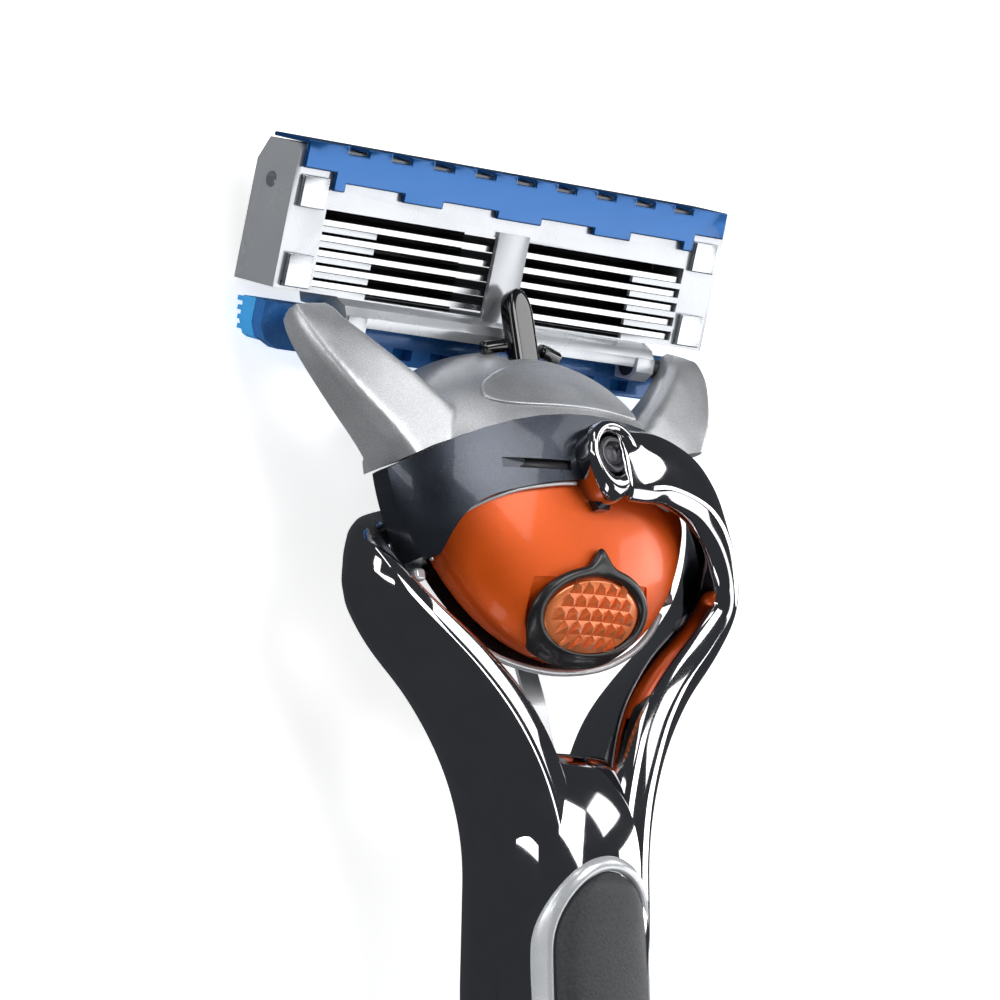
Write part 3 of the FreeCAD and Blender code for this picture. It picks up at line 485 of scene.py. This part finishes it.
def grid_pad(name, pad, surface, stands_for):
    """Crowned rubber pad with round ends that sinks into the handle at its edge."""
    half, start, end, cap, lift = pad
    cap_rows, side_rows, across = 12, 24, 20
    crown_rise, edge_power, sink = 6, 10, 0.3
    verts = []
    backs = [start + cap * (1 - math.cos(math.pi / 2 * k / cap_rows)) for k in range(1, cap_rows)]
    backs += [start + cap + (end - start - 2 * cap) * k / side_rows for k in range(side_rows + 1)]
    backs += [end - cap * (1 - math.cos(math.pi / 2 * k / cap_rows)) for k in range(cap_rows - 1, 0, -1)]
    for back in backs:
        depth = max(start + cap - back, back - end + cap, 0) / cap
        wide = half * math.sqrt(max(0.0, 1 - depth * depth))
        crown = min(1.0, (1 - depth) * crown_rise)
        for step in range(across + 1):
            u = -math.cos(math.pi * step / across)
            edge = 1 - abs(u) ** edge_power
            base = surface(wide * u, -back)
            verts.append((wide * u, -back, base + lift * edge * crown - sink * lift * (1 - edge)))
    faces = []
    for row in range(len(backs) - 1):
        for step in range(across):
            corner = row * (across + 1) + step
            faces.append((corner, corner + 1, corner + across + 2, corner + across + 1))
    piece(name, verts, faces, HANDLE, "grip_rubber", "frame", 1, stands_for)


def build_eye():
    """Polished teardrop round the front swivel pin, blending into the arm."""
    around = 56
    taper, droop = 0.12, 0.5
    # Radius, length of the tail and height of each ring.
    rows = [(2.05, 0.9, 4.1), (2.35, 0.9, 5.2), (2.5, 0.8, 6.3), (2.42, 0.6, 6.85), (2.15, 0.45, 7.08),
            (1.85, 0.3, 7.05), (1.62, 0.1, 6.9), (1.45, 0.0, 6.6), (1.42, 0.0, 6.0)]
    verts = []
    for radius, tail, z in rows:
        for step in range(around):
            turn = math.tau * step / around
            back = max(0.0, -math.sin(turn)) ** 2
            x = radius * math.cos(turn) * (1 - taper * back)
            y = radius * math.sin(turn) - tail * back
            verts.append((x, y, z - droop * back * tail))
    piece("fork_eye", verts, tube_faces(len(rows), around, capped=False), BALL, "frame_chrome", "frame", 1)


def build_pin_face():
    """Turned face of the swivel pin with its shallow socket."""
    around = 40
    rows = [(1.34, 5.6), (1.34, 6.62), (1.22, 6.8), (0.86, 6.8), (0.80, 6.35), (0.3, 6.3)]
    verts = []
    for radius, z in rows:
        for step in range(around):
            turn = math.tau * step / around
            verts.append((radius * math.cos(turn), radius * math.sin(turn), z))
    piece("swivel_pin_face", verts, tube_faces(len(rows), around), BALL, "pin_steel", "frame", 1,
          ("swivel_pin_front",))


# ---- button ---------------------------------------------------------------------------------

BALL_TOP = ellipsoid_top((0, 1.3, -0.35), (13.1, 14.4, 4.9))
COLLAR_TOP = ellipsoid_top((0, 0.5, -0.7), (15.9, 14.4, 6.0))
BUTTON_Y = -10.4


def build_pad():
    """Oval pad with rows of small pyramids."""
    half_x, half_y = 4.5, 2.3
    pitch_x, pitch_y = 1.12, 0.84
    rise, foot, lean = 0.55, 0.34, 0.1
    margin_x, margin_y = 0.28, 0.15
    verts, faces = [], []
    for row in range(-3, 4):
        for column in range(-5, 6):
            x = (column + 0.5 * (row % 2)) * pitch_x
            y = BUTTON_Y + row * pitch_y
            if ((abs(x) + margin_x) / half_x) ** 2 + ((abs(y - BUTTON_Y) + margin_y) / half_y) ** 2 > 1:
                continue
            base = len(verts)
            for dx, dy in ((-0.5, -0.5), (0.5, -0.5), (0.0, 0.5)):
                px, py = x + dx * pitch_x, y + dy * pitch_y
                verts.append((px, py, BALL_TOP(px, py) + foot))
            verts.append((x, y - lean, BALL_TOP(x, y) + foot + rise))
            faces += [(base, base + 1, base + 3), (base + 1, base + 2, base + 3),
                      (base + 2, base, base + 3), (base + 2, base + 1, base)]
    pyramids = piece("pad_pyramids", verts, faces, BALL, "pad_orange", "button")
    pyramids.data.polygons.foreach_set("use_smooth", [False] * len(pyramids.data.polygons))
    rows = [(0.0, 0.0), (0.0, 0.28), (0.12, 0.36), (0.7, 0.36), (1.4, 0.36), (2.0, 0.36), (2.2, 0.36)]
    patch("pad_base", ellipse(half_x, half_y, BUTTON_Y), rows, BALL_TOP, BALL, "pad_orange", "button",
          stands_for=("button_pad",))


def build_button_ring():
    """Raised ring round the pad with a pointer towards the head."""
    width = 1.12

    def plan(inset):
        points = []
        for step in range(96):
            turn = math.tau * step / 96
            x = (5.66 - inset) * math.sin(turn)
            y = BUTTON_Y + 0.05 + (3.12 - inset * 0.72) * math.cos(turn)
            if math.cos(turn) > 0:
                y += 1.35 * (1 - inset / width) * math.exp(-(x / 0.75) ** 2)
            points.append((x, y))
        return points

    rows = [(0.0, 0.12), (0.0, 0.38), (0.18, 0.6), (0.5, 0.72), (0.85, 0.66), (1.1, 0.42), (1.12, 0.12)]
    patch("button_ring", plan, rows, BALL_TOP, BALL, "button_black", "button", ring=True,
          stands_for=("button_surround",))


# ---- yoke -------------------------------------------------------------------------------------

DOME_CENTRE = (0, 0, -4.5)
DOME = (13.2, 10.3, 9.8)
DOME_TOP = ellipsoid_top(DOME_CENTRE, DOME)
DOME_FLOOR = -4.6
HOLLOW_FLOOR = -3.9
YOKE_WALL = 1.2
SEAM_Y = 3.32
SEAM_BEND = 0.0155
SLOT_HALF = 2.9
SLOT_BASE = -3.3
# Stations of x, y, z, half across and half thick.
YOKE_ARM = [
    (7.6, -1.2, -1.5, 3.2, 3.0), (10.4, 1.1, -1.3, 3.5, 2.8), (13.0, 3.9, -1.3, 3.1, 2.4),
    (15.6, 6.6, -1.6, 2.65, 1.9),
    (17.4, 9.0, -2.15, 2.15, 1.5), (18.0, 10.5, -2.6, 1.95, 1.25), (18.15, 11.3, -2.95, 1.75, 1.0),
]
YOKE_SECTION = [
    (-1, 0.5), (-0.8, 0.98), (0.8, 1.0), (1, 0.5), (0.92, -0.6), (0.6, -1), (-0.6, -1), (-0.92, -0.6),
]
# Radius and height round the swivel axis of the room that the front arm swings in.
FRONT_ROOM = [
    (0, 5.55), (3.5, 4.9), (8.5, 2.9), (12.0, 0.9), (14.0, -1.2),
    (15.2, -2.6), (15.4, -5.0), (22, -5.0), (22, 9), (0, 9),
]


def scratch(name, verts, faces):
    """Working mesh in millimetres, not linked to any piece."""
    mesh = bpy.data.meshes.new(name)
    mesh.from_pydata([Vector(v) for v in verts], [], faces)
    work = bmesh.new()
    work.from_mesh(mesh)
    bmesh.ops.remove_doubles(work, verts=work.verts, dist=1e-4)
    bmesh.ops.recalc_face_normals(work, faces=work.faces)
    work.to_mesh(mesh)
    work.free()
    obj = bpy.data.objects.new(name, mesh)
    bpy.context.scene.collection.objects.link(obj)
    return obj


def scratch_dome(name, centre, halves, floor):
    """Ellipsoid flattened below floor."""
    rows, around = 48, 96
    verts = []
    for row in range(1, rows):
        tilt = math.pi * row / rows
        for step in range(around):
            turn = math.tau * step / around
            z = centre[2] + halves[2] * math.cos(tilt)
            verts.append((centre[0] + halves[0] * math.sin(tilt) * math.cos(turn),
                          centre[1] + halves[1] * math.sin(tilt) * math.sin(turn), z))
    keep = [v for v in verts if v[2] > floor]
    count = len(keep) // around
    last = keep[-around:]
    keep += [(v[0], v[1], floor) for v in last]
    return scratch(name, keep, tube_faces(count + 1, around))


def scratch_prism(name, outline, low, high):
    count = len(outline)
    return scratch(name, [(x, y, z) for z in (low, high) for x, y in outline], tube_faces(2, count))


def scratch_sector(name, outline, start, sweep, steps=24):
    """Ring sector about the swivel axis from a radius-height outline."""
    verts = []
    for step in range(steps + 1):
        turn = math.radians(start + sweep * step / steps)
        verts += [((r + 0.01) * math.cos(turn), (r + 0.01) * math.sin(turn), z) for r, z in outline]
    return scratch(name, verts, tube_faces(steps + 1, len(outline)))


def apply_all(obj):
    """The mesh with its modifiers applied, and the working object removed."""
    graph = bpy.context.evaluated_depsgraph_get()
    graph.update()
    mesh = bpy.data.meshes.new_from_object(obj.evaluated_get(graph))
    bpy.data.objects.remove(obj)
    return mesh


def carve(obj, cutter):
    cut = obj.modifiers.new("cut", "BOOLEAN")
    cut.operation = "DIFFERENCE"
    cut.solver = "MANIFOLD"
    cut.object = cutter


def build_yoke():
    """Dome fused with two arms, relaxed, then cut back to its seam, hollow, slot and arm room."""
    blank = scratch_dome("yoke_blank", DOME_CENTRE, DOME, DOME_FLOOR)
    arms = []
    for sign in (-1, 1):
        stations = [(sign * s[0],) + s[1:] + (UP,) for s in YOKE_ARM]
        verts, rows = limb_rings(stations, bevelled(YOKE_SECTION, 0.08), 5)
        arms.append(scratch("yoke_arm", verts, tube_faces(rows, 2 * len(YOKE_SECTION))))
    for arm in arms:
        join = blank.modifiers.new("join", "BOOLEAN")
        join.operation = "UNION"
        join.solver = "MANIFOLD"
        join.object = arm
    voxels = blank.modifiers.new("voxels", "REMESH")
    voxels.mode = "VOXEL"
    voxels.voxel_size = 0.2
    relax = blank.modifiers.new("relax", "SMOOTH")
    relax.factor = 0.5
    relax.iterations = 7
    seam_steps = [2.4 * k for k in range(10, -11, -1)]
    seam = [(x, SEAM_Y - SEAM_BEND * x ** 2) for x in seam_steps]
    slot = [(-SLOT_HALF, 5), (SLOT_HALF, 5), (SLOT_HALF, 20), (-SLOT_HALF, 20)]
    cutters = [
        scratch_prism("seam", [(-24, -30), (24, -30)] + seam, -20, 20),
        scratch_dome("inside", DOME_CENTRE, [half - YOKE_WALL for half in DOME], HOLLOW_FLOOR),
        scratch_prism("slot", slot, SLOT_BASE, 1.0),
        scratch_sector("arm_room", FRONT_ROOM, -62, 74),
    ]
    for cutter in cutters:
        carve(blank, cutter)
    mesh = apply_all(blank)
    for helper in arms + cutters:
        bpy.data.objects.remove(helper)
    mesh.transform(BALL)
    mesh.polygons.foreach_set("use_smooth", [True] * len(mesh.polygons))
    mesh.materials.clear()
    mesh.materials.append(MATERIALS["yoke_silver"])
    obj = bpy.data.objects.new("yoke_casting", mesh)
    bpy.context.scene.collection.objects.link(obj)
    edges = obj.modifiers.new("edges", "EDGE_SPLIT")
    edges.split_angle = math.radians(38)
    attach(obj, "yoke")
    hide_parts("yoke")


def build_badge():
    """Blank oval plate with a raised rim."""
    rows = [(0.0, -0.3), (0.0, 0.05), (0.1, 0.13), (0.32, 0.13), (0.45, 0.0),
            (0.9, -0.02), (1.4, -0.02), (1.9, -0.02), (2.05, -0.02)]
    patch("badge_plate", ellipse(7.4, 2.15, 6.0, 0.02, 96), rows, lambda x, y: DOME_TOP(x, y) + 0.04, BALL,
          "yoke_silver", "yoke", stands_for=("yoke_badge",))


def build_head_trim():
    """Bright beads on the collar's lip and the cup's rim, a dark strip for the floor of the collar's slot, partly
    its black and partly painted shade, and the plunger's lip, which is split so that the plunger passes between
    its halves."""
    bead, lift = 0.13, 0.42
    lip = [(-12.3, -6.6), (-12.1, -5.8), (-11.0, -3.9), (-7.8, -2.55), (-4.4, -1.95), (-2.2, -1.75)]
    left = [(x, y, BALL_TOP(x, y) + lift) for x, y in lip]
    right = [(-x, y, BALL_TOP(x, y) + lift) for x, y in lip[3:]]
    sweep("collar_lip_left", left, bead, "rim_silver", "head")
    sweep("collar_lip_right", right, bead, "rim_silver", "head")
    rim = [(-11.5, -8.3), (-10.2, -9.8), (-7.9, -11.4), (-4.4, -12.7), (0, -13.2), (4.4, -12.7), (7.9, -11.4),
           (10.2, -9.8), (11.5, -8.3)]
    sweep("cup_rim", [(x, y, -1.95) for x, y in rim], 0.26, "rim_silver", "head")
    # Dark strip over the slot's through-cut: the slot's floor, dark partly from the collar's black and partly as
    # painted shade in the recess.
    corners = [(-8.9 + 0.4 * step, -1.05) for step in range(17)]
    corners += [(-2.5 - 0.4 * step, -0.25) for step in range(17)]
    patch("collar_slot_floor_and_shade", lambda inset: corners, [(0, -0.6), (0, -0.35)], COLLAR_TOP, BALL,
          "inner_plastic", "head", smooth=0)
    for sign, side in ((-1, "left"), (1, "right")):
        arc = [(sign * x, 9.95 - 0.03 * x * x, -0.35 - 0.03 * x * x) for x in (1.85, 2.3, 2.9, 3.6)]
        sweep(f"plunger_lip_{side}", arc, 0.5, "plunger_black", "yoke")


def build_plunger():
    """Black finger with a round tip, which lies in the yoke's slot."""
    tip_steps, tip_y = 24, 12.3

    def plan(inset):
        half = 1.2 - inset
        tip = 1.9 - inset
        turns = [math.pi * k / tip_steps for k in range(tip_steps + 1)]
        points = [(half * math.cos(turn), tip_y + tip * math.sin(turn)) for turn in turns]
        return points + [(-half, 7.0), (-half, 2.2 + inset), (half, 2.2 + inset), (half, 7.0)]

    rows = [(0.3, -1.1), (0.06, -0.95), (0.0, -0.7), (0.0, -0.2), (0.08, 0.08), (0.35, 0.2), (0.7, 0.2)]
    patch("plunger_blade", plan, rows, lambda x, y: 0.0, BALL, "plunger_black", "plunger",
          stands_for=("plunger",))


# ---- cartridge ------------------------------------------------------------------------------------

# The pitch is assumed, as the CAD's is: the photo fits 0.90 to 1.15 mm equally well.
PITCH = 1.05
BLADE_HALF = 17.38


def build_blades():
    """Bent supports: a bright steel flange on the back and a web down to the edge, whose steel is painted dark as
    shade.
    """
    for number in range(1, 6):
        y = -number * PITCH + 0.48
        outline = [
            (y - 0.33, -0.30), (y + 0.06, -0.30), (y + 0.09, -0.42), (y + 0.09, -2.5), (y + 0.44, -3.88),
            (y + 0.36, -3.93), (y - 0.01, -2.55), (y - 0.02, -0.44), (y - 0.33, -0.42),
        ]
        verts = [(x, py, pz) for x in (-BLADE_HALF, BLADE_HALF) for py, pz in outline]
        blade = piece(f"blade_support_{number}", verts, tube_faces(2, len(outline)), CART, "blade_steel",
                      f"blade_{number}", 0, (f"blade_{number}",))
        blade.data.polygons.foreach_set("use_smooth", [False] * len(blade.data.polygons))
        # The webs take the dark steel as painted shade; the flange top, tip and one face of the bend keep bright
        # steel.
        blade.data.materials.append(MATERIALS["blade_shade"])
        bright = {0, 4, 5}
        for index, face in enumerate(blade.data.polygons):
            face.material_index = 0 if index in bright else 1


def build_window_shade_sheets():
    """Dark liners behind the blades. They stand in for shade: the real windows are open."""
    back, front = -5.45, 0.15
    for sign, side in ((-1, "left"), (1, "right")):
        low, high = sorted((sign * 1.55, sign * 17.55))
        corners = ((low, back), (high, back), (high, front), (low, front))
        verts = [(x, y, z) for z in (-3.3, -3.2) for x, y in corners]
        piece(f"window_shade_sheet_{side}", verts, tube_faces(2, 4), CART, "inner_plastic", "cartridge")


softened("housing", 0.22, "cartridge")
softened("trimmer_comb", 0.12, "cartridge")
softened("guard_carrier", 0.15, "cartridge")
softened("clip_left", 0.1, "cartridge")
softened("clip_right", 0.1, "cartridge")
build_button_ring()
build_handle()
build_eye()
build_pin_face()
build_pad()
build_yoke()
build_badge()
build_head_trim()
build_plunger()
build_blades()
build_window_shade_sheets()


# ---- studio ----------------------------------------------------------------------------


def studio_floor():
    """White paper that glows a little and isn't mirrored, to match the photo's bright ground."""
    mesh = bpy.data.meshes.new("floor")
    half, glow = 6.0, 0.72
    corners = [(-half, -half, 0), (half, -half, 0), (half, half, 0), (-half, half, 0)]
    mesh.from_pydata(corners, [], [(0, 1, 2, 3)])
    floor = bpy.data.objects.new("floor", mesh)
    bpy.context.scene.collection.objects.link(floor)
    mat = finish("floor_paper", colour=(0.90, 0.90, 0.90), rough=0.9, metal=0.0, coat=0.0,
                 grain=3.0, bump=0.0, vary=0.01)
    shader = mat.node_tree.nodes["Principled BSDF"]
    shader.inputs["Emission Color"].default_value = (1, 1, 1, 1)
    shader.inputs["Emission Strength"].default_value = glow
    mesh.materials.append(mat)
    floor.visible_glossy = False


def softbox(name, direction, distance, width, height, radiance):
    """Rectangular light that faces the razor's head."""
    light = bpy.data.lights.new(name, "AREA")
    light.shape = "RECTANGLE"
    light.size = width
    light.size_y = height
    light.energy = radiance * math.pi * width * height
    lamp = bpy.data.objects.new(name, light)
    away = Vector(direction).normalized()
    lamp.location = SWIVEL + away * distance
    lamp.rotation_euler = away.to_track_quat("Z", "Y").to_euler()
    bpy.context.scene.collection.objects.link(lamp)


studio_floor()
# Direction from the swivel axis, distance, width and height in metres, and radiance.
softbox("top_box", (0.22, 0.42, 0.9), 0.60, 0.30, 0.30, 5.2)
softbox("side_panel", (0.70, -0.27, 0.67), 0.70, 0.34, 0.42, 2.2)
softbox("yoke_panel", (0.72, 0.42, 0.56), 0.70, 0.20, 0.26, 3.0)
softbox("right_box", (1.0, 0.08, 0.16), 0.60, 0.12, 0.60, 4.5)
softbox("left_strip", (-1.0, 0.25, 0.45), 0.60, 0.07, 0.50, 4.5)
softbox("left_card", (-0.88, 0.50, 0.22), 0.60, 0.30, 0.16, 3.0)
softbox("front_strip", (-0.25, -1.0, 0.55), 0.60, 0.10, 0.34, 3.5)
softbox("back_strip", (-0.30, 1.0, 0.45), 0.60, 0.10, 0.40, 3.0)
world = bpy.data.worlds.new("studio")
world.use_nodes = True
world.node_tree.nodes["Background"].inputs["Color"].default_value = (0.85, 0.92, 1.0, 1)
world.node_tree.nodes["Background"].inputs["Strength"].default_value = 0.06
bpy.context.scene.world = world
bpy.context.scene.view_settings.view_transform = "Standard"

# The camera's place in metres and its lens, from the fit to the cartridge.
CAMERA_PLACE = (-0.2387, 0.0160, 0.2497)
CAMERA_LENS = 176.6
camera_data = bpy.data.cameras.new("camera")
camera_data.lens = CAMERA_LENS
camera_data.sensor_width = 36
camera_data.clip_start = 0.01
camera = bpy.data.objects.new("camera", camera_data)
toward = Vector((-0.696, -0.091, 0.712)).normalized()
right = Vector((0.713, 0.025, 0.700))
right = (right - toward * right.dot(toward)).normalized()
camera.matrix_world = Matrix.Translation(CAMERA_PLACE) @ Matrix(
    (right, toward.cross(right), toward)
).transposed().to_4x4()
bpy.context.scene.collection.objects.link(camera)
bpy.context.scene.camera = camera
